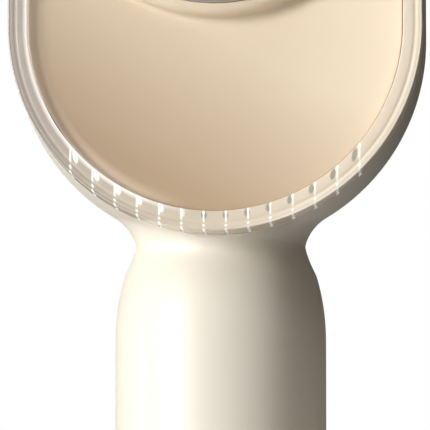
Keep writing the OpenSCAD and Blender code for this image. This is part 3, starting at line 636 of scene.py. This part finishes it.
def make_tip(materials):
    """The clear tip: a flange, a cone and a small round mouth."""
    bore_r = 7.06 * mm
    mouth_out = mouth_r + 1.6 * mm
    inner_end = spigot_end + 0.4 * mm
    foot = tip_foot + 2 * mm
    soft = 0.4 * mm
    points = ([(bore_r, tip_foot)]
              + arc_points((tip_r - soft, tip_foot + soft), soft, -90, 0, 4)
              + arc_points((tip_r - soft, foot - soft), soft, 0, 60, 4)
              + [(mouth_out + 0.9 * mm, tip_end - 3.2 * mm), (mouth_out + 0.25 * mm, tip_end - 2 * mm)]
              + arc_points((mouth_out - 0.7 * mm, tip_end - 0.7 * mm), 0.7 * mm, 0, 90, 5)
              + arc_points((mouth_r + 0.35 * mm, tip_end - 0.35 * mm), 0.35 * mm, 90, 180, 3)
              + [(mouth_r, tip_end - 4 * mm), (6.2 * mm, inner_end), (bore_r, inner_end)])
    tip = make_object(turned(points, (0, 0, crown_z)), "clear_tip", 40)
    place_piece(tip, materials["clear_tip"], "clear_plastic", "tip", "suction_tip")


def make_button(materials, node, body):
    """A round button with a soft edge and a slightly hollow face."""
    low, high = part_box(node)
    flange = high.x
    r = flange - 0.9 * mm
    face = -low.y
    back = -high.y
    soft = 0.5 * mm
    hollow = [((r - soft) * (1 - i / 8), face - 0.35 * mm * (1 - ((8 - i) / 8) ** 2))
              for i in range(1, 9)]
    points = ([(0, back), (flange, back), (flange, back + 1 * mm), (r, back + 1 * mm)]
              + arc_points((r - soft, face - soft), soft, 0, 90, 6) + hollow)
    centre = (0, 0, (low.z + high.z) / 2)
    button = make_object(turned(points, centre, steps=64), "champagne_" + node, 50)
    place_piece(button, materials["champagne"], "champagne_panel", body, node)


def make_foot(materials):
    """The cap that closes the handle, and the rubber pad under it."""
    high = foot_z - 0.05 * mm
    centre_r = handle_r - foot_round
    inner_r = handle_r - 2 * mm
    edge = 0.06 * mm
    hole = pad_r + 0.05 * mm
    points = ([(hole, cap_low)]
              + arc_points((centre_r, cap_low + foot_round), foot_round, -90, 0, 8)
              + [(handle_r, high - edge), (handle_r - edge, high), (inner_r, high),
                 (inner_r, pad_h + edge), (hole, pad_h + edge)])
    cap = make_object(turned(points, (0, 0, 0), upright=True, steps=144), "pearl_foot")
    place_piece(cap, materials["pearl"], "pearl_shell", "body", "base_cap")
    soft = 0.3 * mm
    points = ([(0, 0)] + arc_points((pad_r - soft, soft), soft, -90, 0, 4)
              + [(pad_r, pad_h), (0, pad_h)])
    pad = make_object(turned(points, (0, 0, 0), upright=True, steps=96), "foot_pad")
    place_piece(pad, materials["rubber"], "rubber", "body", "base_pad")


# ---- Materials ----


def node_tree(name):
    material = bpy.data.materials.new(name)
    material.use_nodes = True
    tree = material.node_tree
    shader = tree.nodes["Principled BSDF"]
    return material, tree, shader


def maths(tree, operation, *values):
    """A maths node on values that are sockets or numbers; gives its output socket."""
    node = tree.nodes.new("ShaderNodeMath")
    node.operation = operation
    for socket, value in zip(node.inputs, values):
        if isinstance(value, bpy.types.NodeSocket):
            tree.links.new(value, socket)
        else:
            socket.default_value = value
    return node.outputs[0]


def times(tree, a, b):
    return maths(tree, "MULTIPLY", a, b)


def minus(tree, a, b):
    return maths(tree, "SUBTRACT", a, b)


def larger(tree, a, b):
    return maths(tree, "MAXIMUM", a, b)


def zero_to_one(tree, value):
    return maths(tree, "MINIMUM", larger(tree, value, 0.0), 1.0)


def own_place(tree):
    """The X and Z of a point, in the piece's own coordinates."""
    place = tree.nodes.new("ShaderNodeTexCoord")
    split = tree.nodes.new("ShaderNodeSeparateXYZ")
    tree.links.new(place.outputs["Object"], split.inputs[0])
    return split.outputs["X"], split.outputs["Z"]


def length(tree, a, b):
    """The length of a flat vector (a, b)."""
    return maths(tree, "SQRT", maths(tree, "ADD", times(tree, a, a), times(tree, b, b)))


def soft_step(tree, limit, value, width):
    """0 above the limit, rising to 1 over the width below it."""
    return zero_to_one(tree, maths(tree, "DIVIDE", minus(tree, limit, value), width))


def mixed(tree, factor, low, high):
    """A colour mix by a factor between two colours, each a socket or plain values."""
    mix = tree.nodes.new("ShaderNodeMix")
    mix.data_type = "RGBA"
    tree.links.new(factor, mix.inputs["Factor"])
    for socket, value in ((mix.inputs["A"], low), (mix.inputs["B"], high)):
        if isinstance(value, bpy.types.NodeSocket):
            tree.links.new(value, socket)
        else:
            socket.default_value = (*value, 1)
    return mix.outputs["Result"]


def vent_glint_lines(group, x, r, beside):
    """The painted highlight line on each vent and the painted glint dots on it."""
    line = soft_step(group, 0.15 * mm, maths(group, "ABSOLUTE", beside), 0.06 * mm)
    bright = times(group, line, soft_step(group, cover_r - vent_end, r, 0.2 * mm))
    for centre, size in vent_glint_dots:
        away = length(group, minus(group, r, centre), beside)
        bright = larger(group, bright, soft_step(group, size, away, 0.1 * mm))
    return bright


def vent_painted_spots(group, x, r, beside):
    """A soft spot at each vent's inner end, which leans outwards with the vent; the ring paints it as
    a highlight at the left and as grey shade at the right.
    """
    lean = maths(group, "ADD", beside, times(group, x, 0.035))
    drop = times(group, minus(group, r, opening_r + 0.6 * mm), 0.7)
    return soft_step(group, 0.5 * mm, length(group, lean, drop), 0.2 * mm)


def painted_ring_light_group():
    """The clear ring's painted light: painted highlights on the vents and edges, and painted grey
    shade at the vents' ends and along the left outer edge.
    """
    group = bpy.data.node_groups.new("vent marks", "ShaderNodeTree")
    for name in ("Bright", "Grey"):
        group.interface.new_socket(name, in_out="OUTPUT", socket_type="NodeSocketFloat")
    x, z = own_place(group)
    right = times(group, x, -1.0)
    down = minus(group, head_z, z)
    r = length(group, x, down)
    turns = maths(group, "ADD", maths(group, "DIVIDE", x, vent_pitch), 0.5)
    beside = times(group, minus(group, turns, maths(group, "ROUND", turns)), vent_pitch)
    inside = maths(group, "LESS_THAN", maths(group, "ABSOLUTE", x), vent_pitch * vent_count / 2)
    there = times(group, inside, maths(group, "GREATER_THAN", down, 0.0))

    # the spot at each vent's end is a painted highlight at the left and painted grey shade towards the
    # right
    painted_spot = vent_painted_spots(group, x, r, beside)
    left = soft_step(group, -2 * mm, x, 4 * mm)
    bright = larger(group, vent_glint_lines(group, x, r, beside), times(group, painted_spot, left))
    grey = times(group, painted_spot, minus(group, 0.6, times(group, left, 0.6)))

    # painted highlights along the inner edge at the left and the outer edge at the right, and painted
    # shade along the outer edge at the left
    reach = length(group, x, larger(group, down, 0.0))
    from_edge = maths(group, "ABSOLUTE", minus(group, reach, cover_r - 0.22 * mm))
    painted_inner_highlight = times(group, soft_step(group, opening_r + 0.7 * mm, reach, 0.6 * mm),
                       soft_step(group, -3 * mm, x, 9 * mm))
    painted_outer_highlight = times(group, soft_step(group, 0.14 * mm, from_edge, 0.1 * mm),
                       soft_step(group, -2 * mm, right, 8 * mm))
    painted_outer_shade = times(group, soft_step(group, 0.15 * mm, from_edge, 0.12 * mm),
                       times(group, soft_step(group, -6 * mm, x, 10 * mm), 0.6))
    edges = larger(group, painted_inner_highlight, times(group, painted_outer_highlight, 0.6))

    outputs = group.nodes.new("NodeGroupOutput")
    group.links.new(larger(group, times(group, bright, there), times(group, edges, 0.9)),
                    outputs.inputs["Bright"])
    group.links.new(larger(group, times(group, grey, there), painted_outer_shade), outputs.inputs["Grey"])
    return group


def paint_ring_light_and_shade(material):
    """Paints shade into the clear ring's colour, greyer at the left, and light, creamier at the right,
    and adds its painted glints and shade.
    """
    tree = material.node_tree
    glints_and_shade = tree.nodes.new("ShaderNodeGroup")
    glints_and_shade.node_tree = painted_ring_light_group()
    shader = tree.nodes["Principled BSDF"]
    tone = shader.inputs["Base Color"].links[0].from_socket
    x = own_place(tree)[0]
    # painted shade at the ring's left and painted light at its right
    tone = mixed(tree, soft_step(tree, -4 * mm, x, 20 * mm), tone, (0.52, 0.465, 0.42))
    right = times(tree, x, -1.0)
    tone = mixed(tree, soft_step(tree, 2 * mm, right, 14 * mm), tone, (1, 0.89, 0.74))
    # the painted grey shade and the painted white highlights go into the base colour
    tone = mixed(tree, glints_and_shade.outputs["Grey"], tone, (0.2, 0.2, 0.2))
    tone = mixed(tree, glints_and_shade.outputs["Bright"], tone, (1, 0.99, 0.96))
    tree.links.new(tone, shader.inputs["Base Color"])
    # the painted highlights also glow faintly by emission, as painted glints
    glint = times(tree, glints_and_shade.outputs["Bright"], 0.25)
    tree.links.new(glint, shader.inputs["Emission Strength"])


def paint_dish_shade(material):
    """Paints shade into the dish's colour, darker towards its lower edge and its left, and paints
    light into a band along its left edge.
    """
    tree = material.node_tree
    x, z = own_place(tree)
    # painted shade, growing towards the lower left of the dish
    drop = minus(tree, minus(tree, head_z - 1 * mm, z), times(tree, x, 0.5))
    amount = zero_to_one(tree, maths(tree, "DIVIDE", drop, 24 * mm))
    shader = tree.nodes["Principled BSDF"]
    plain = shader.inputs["Base Color"].links[0].from_socket
    painted_shade_tone = mixed(tree, amount, plain, (0.52, 0.39, 0.265))
    # a band of painted light along the dish's left edge, over the shade the ring casts there
    down = larger(tree, minus(tree, head_z, z), 0.0)
    inward = times(tree, length(tree, x, down), -1.0)
    rim = times(tree, soft_step(tree, 2 * mm - panel_r, inward, 2 * mm),
                soft_step(tree, -4 * mm, x, 12 * mm))
    tree.links.new(mixed(tree, rim, painted_shade_tone, (1, 0.83, 0.68)), shader.inputs["Base Color"])


def mottle_group():
    """Soft colour drift and a fine grain, as on moulded plastic and turned metal."""
    group = bpy.data.node_groups.new("mottle", "ShaderNodeTree")
    for name, way, kind in (("Colour", "INPUT", "Color"), ("Tint", "INPUT", "Color"),
                            ("Drift", "INPUT", "Float"), ("Grain size", "INPUT", "Float"),
                            ("Roughness", "INPUT", "Float"), ("Colour", "OUTPUT", "Color"),
                            ("Height", "OUTPUT", "Float"), ("Roughness", "OUTPUT", "Float")):
        group.interface.new_socket(name, in_out=way, socket_type="NodeSocket" + kind)
    nodes = group.nodes
    links = group.links
    inputs = nodes.new("NodeGroupInput")
    outputs = nodes.new("NodeGroupOutput")
    place = nodes.new("ShaderNodeTexCoord")
    broad = nodes.new("ShaderNodeTexNoise")
    broad.inputs["Scale"].default_value = 60
    broad.inputs["Detail"].default_value = 2
    links.new(place.outputs["Object"], broad.inputs["Vector"])
    amount = times(group, broad.outputs["Fac"], inputs.outputs["Drift"])
    colour = mixed(group, amount, inputs.outputs["Colour"], inputs.outputs["Tint"])
    links.new(colour, outputs.inputs["Colour"])
    fine = nodes.new("ShaderNodeTexNoise")
    fine.inputs["Detail"].default_value = 3
    links.new(place.outputs["Object"], fine.inputs["Vector"])
    links.new(inputs.outputs["Grain size"], fine.inputs["Scale"])
    links.new(fine.outputs["Fac"], outputs.inputs["Height"])
    spread = maths(group, "MULTIPLY_ADD", fine.outputs["Fac"], 0.12, inputs.outputs["Roughness"])
    links.new(spread, outputs.inputs["Roughness"])
    return group


def add_mottle(tree, shader, group, colour, tint, grain, roughness):
    """Places the mottle group in a material and feeds its colour and roughness."""
    mottle = tree.nodes.new("ShaderNodeGroup")
    mottle.node_tree = group
    mottle.inputs["Colour"].default_value = (*colour, 1)
    mottle.inputs["Tint"].default_value = (*tint, 1)
    mottle.inputs["Drift"].default_value = 0.5
    mottle.inputs["Grain size"].default_value = grain
    mottle.inputs["Roughness"].default_value = roughness
    tree.links.new(mottle.outputs["Colour"], shader.inputs["Base Color"])
    tree.links.new(mottle.outputs["Roughness"], shader.inputs["Roughness"])
    return mottle


def moulded(name, group, colour, tint, grain, roughness, bump, metallic=0, coat=0):
    """An opaque material: a colour that drifts a little, and a fine grain in the surface."""
    material, tree, shader = node_tree(name)
    mottle = add_mottle(tree, shader, group, colour, tint, grain, roughness)
    relief = tree.nodes.new("ShaderNodeBump")
    relief.inputs["Strength"].default_value = bump
    relief.inputs["Distance"].default_value = 0.05 * mm
    tree.links.new(mottle.outputs["Height"], relief.inputs["Height"])
    tree.links.new(relief.outputs["Normal"], shader.inputs["Normal"])
    shader.inputs["Metallic"].default_value = metallic
    shader.inputs["Coat Weight"].default_value = coat
    shader.inputs["Coat Roughness"].default_value = 0.3
    return material


def see_through(name, group, colour, roughness, transmission=1):
    """A clear or milky plastic."""
    material, tree, shader = node_tree(name)
    add_mottle(tree, shader, group, colour, [c * 0.97 for c in colour], 900, roughness)
    shader.inputs["IOR"].default_value = 1.45
    shader.inputs["Metallic"].default_value = 0
    shader.inputs["Transmission Weight"].default_value = transmission
    return material


def make_materials():
    group = mottle_group()
    clear_ring = see_through("clear ring plastic", group, (0.80, 0.71, 0.58), 0.12, 0.15)
    paint_ring_light_and_shade(clear_ring)

    def satin(name, colour, tint, coat):
        return moulded(name, group, colour, tint, 2600, 0.38, 0.06, coat=coat)

    def plain(name, colour, roughness, metallic=0, grain=1500, bump=0.15):
        tint = [c * 0.86 for c in colour]
        return moulded(name, group, colour, tint, grain, roughness, bump, metallic)

    face = satin("champagne satin", (0.80, 0.685, 0.535), (0.73, 0.61, 0.465), 0.2)
    paint_dish_shade(face)
    return {
        "pearl": satin("pearl satin", (0.79, 0.747, 0.668), (0.775, 0.727, 0.643), 0.1),
        "face": face,
        "champagne": satin("champagne button satin", (0.74, 0.62, 0.475), (0.71, 0.59, 0.45), 0.2),
        "clear": clear_ring,
        "clear_tip": see_through("clear plastic", group, (0.97, 0.955, 0.93), 0.03),
        "steel": plain("satin steel", (0.56, 0.56, 0.57), 0.3, 1, 3000),
        "brass": plain("turned brass", (0.72, 0.52, 0.24), 0.3, 1, 3000),
        "grey": plain("grey moulding", (0.16, 0.165, 0.17), 0.55),
        "white": plain("white moulding", (0.78, 0.78, 0.75), 0.45),
        "rubber": plain("dark rubber", (0.03, 0.03, 0.033), 0.75),
        "pearl_rubber": plain("pale rubber", (0.72, 0.68, 0.62), 0.6),
        "sponge": plain("open sponge", (0.6, 0.6, 0.57), 0.95, grain=1200, bump=1),
        "circuit": plain("circuit board", (0.02, 0.11, 0.05), 0.4),
        "cell": plain("cell sleeve", (0.03, 0.16, 0.09), 0.3),
        "black": plain("black moulding", (0.02, 0.02, 0.022), 0.5),
    }


slot_finish = {
    "pearl_shell": "pearl", "champagne_panel": "champagne", "clear_plastic": "clear",
    "steel": "steel", "grey_plastic": "grey", "white_plastic": "white", "rubber": "rubber",
    "pearl_rubber": "pearl_rubber", "sponge": "sponge", "brass": "brass", "circuit": "circuit",
    "cell_wrap": "cell", "black_plastic": "black"}


def finish_cad_nodes(materials):
    """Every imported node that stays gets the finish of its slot."""
    for part in frame["record"]["subparts"]:
        obj = frame["nodes"][part["node"]]
        for place in obj.material_slots:
            place.material = materials[slot_finish[part["material_slot"]]]
        if not obj.material_slots:
            obj.data.materials.append(materials[slot_finish[part["material_slot"]]])


# ---- Floor, light and camera ----


def make_floor():
    """A pale floor just under the foot, a little brighter to the camera than to the object."""
    bm = bmesh.new()
    just_under = Matrix.Translation((0, 0, -0.05 * mm))
    bmesh.ops.create_grid(bm, x_segments=1, y_segments=1, size=3, matrix=just_under)
    floor = make_object(bm, "floor")
    material, tree, shader = node_tree("pale floor")
    shader.inputs["Base Color"].default_value = (0.8, 0.8, 0.79, 1)
    shader.inputs["Roughness"].default_value = 0.9
    shader.inputs["Emission Color"].default_value = (1, 0.99, 0.97, 1)
    path = tree.nodes.new("ShaderNodeLightPath")
    lift = times(tree, path.outputs["Is Camera Ray"], 0.45)
    tree.links.new(lift, shader.inputs["Emission Strength"])
    floor.data.materials.append(material)


def make_flag():
    """Two dark cards that keep the right flank in shade; the camera does not see them."""
    bm = bmesh.new()
    for x, z, lean, size in ((50, 100, 123, 28), (58, 150, 90, 30)):
        place = Matrix.Translation((x * mm, 0, z * mm)) @ Matrix.Rotation(radians(lean), 4, "Y")
        bmesh.ops.create_grid(bm, x_segments=1, y_segments=1, size=size * mm, matrix=place)
    flag = make_object(bm, "flag")
    material, tree, shader = node_tree("black card")
    shader.inputs["Base Color"].default_value = (0.02, 0.02, 0.02, 1)
    shader.inputs["Roughness"].default_value = 1
    flag.data.materials.append(material)
    flag.visible_camera = False
    flag.visible_transmission = False


def make_world():
    """A dim warm light on the object, and plain white to the camera and through clear pieces."""
    ambient = 0.165
    world = bpy.data.worlds.new("studio")
    bpy.context.scene.world = world
    world.use_nodes = True
    tree = world.node_tree
    nodes = tree.nodes
    shown = nodes.new("ShaderNodeBackground")
    shown.inputs["Color"].default_value = (1, 1, 1, 1)
    shown.inputs["Strength"].default_value = 1
    lit = nodes["Background"]
    lit.inputs["Color"].default_value = (1, 0.86, 0.67, 1)
    lit.inputs["Strength"].default_value = ambient
    path = nodes.new("ShaderNodeLightPath")
    seen = larger(tree, path.outputs["Is Camera Ray"], path.outputs["Is Transmission Ray"])
    mix = nodes.new("ShaderNodeMixShader")
    tree.links.new(seen, mix.inputs["Fac"])
    tree.links.new(lit.outputs["Background"], mix.inputs[1])
    tree.links.new(shown.outputs["Background"], mix.inputs[2])
    tree.links.new(mix.outputs["Shader"], nodes["World Output"].inputs["Surface"])


def add_softbox(name, azimuth, elevation, distance, width, height, watts, colour):
    """A flat lamp that looks at the head from the given side; azimuth 0 is in front."""
    aim = Vector((0, -10 * mm, 105 * mm))
    a = radians(azimuth)
    e = radians(elevation)
    away = Vector((sin(a) * cos(e), -cos(a) * cos(e), sin(e)))
    lamp = bpy.data.lights.new(name, "AREA")
    lamp.shape = "RECTANGLE"
    lamp.size = width
    lamp.size_y = height
    lamp.energy = watts
    lamp.color = colour
    obj = bpy.data.objects.new(name, lamp)
    bpy.context.collection.objects.link(obj)
    obj.matrix_world = (Matrix.Translation(aim + away * distance)
                        @ away.to_track_quat("Z", "Y").to_matrix().to_4x4())


def make_lights():
    away = 0.9
    warm = (1, 0.99, 0.97)
    add_softbox("key", -50, 6, away, 0.3, 0.36, 8.1, warm)
    add_softbox("side_fill", -95, 4, away, 0.2, 0.3, 1, warm)
    add_softbox("top_fill", -20, 60, away, 0.4, 0.4, 1.2, (1, 1, 1))
    add_softbox("rear_fill", -165, 35, away, 0.5, 0.5, 1.2, warm)


def make_camera():
    """A long lens, a little to the right of the object and a little below it."""
    azimuth = radians(2.65)
    elevation = radians(-6.3)
    distance = 0.72
    view_width = 61.43 * mm
    aim = Vector((-0.83 * mm, 0, 100.2 * mm))
    away = Vector((sin(azimuth) * cos(elevation), -cos(azimuth) * cos(elevation), sin(elevation)))
    lens = bpy.data.cameras.new("camera")
    lens.sensor_width = 36
    lens.lens = lens.sensor_width * distance / view_width
    lens.clip_start = 0.01
    camera = bpy.data.objects.new("camera", lens)
    bpy.context.collection.objects.link(camera)
    camera.matrix_world = (Matrix.Translation(aim + away * distance)
                           @ away.to_track_quat("Z", "Y").to_matrix().to_4x4())
    bpy.context.scene.camera = camera


make_camera()
materials = make_materials()
finish_cad_nodes(materials)
make_shell(materials)
make_panel(materials)
make_cover(materials)
make_nozzle(materials)
make_trim(materials)
make_tip(materials)
make_button(materials, "power_button", "power_key")
make_button(materials, "level_button", "level_key")
make_foot(materials)
make_floor()
make_flag()
make_world()
make_lights()
bpy.context.scene.view_settings.view_transform = "Standard"
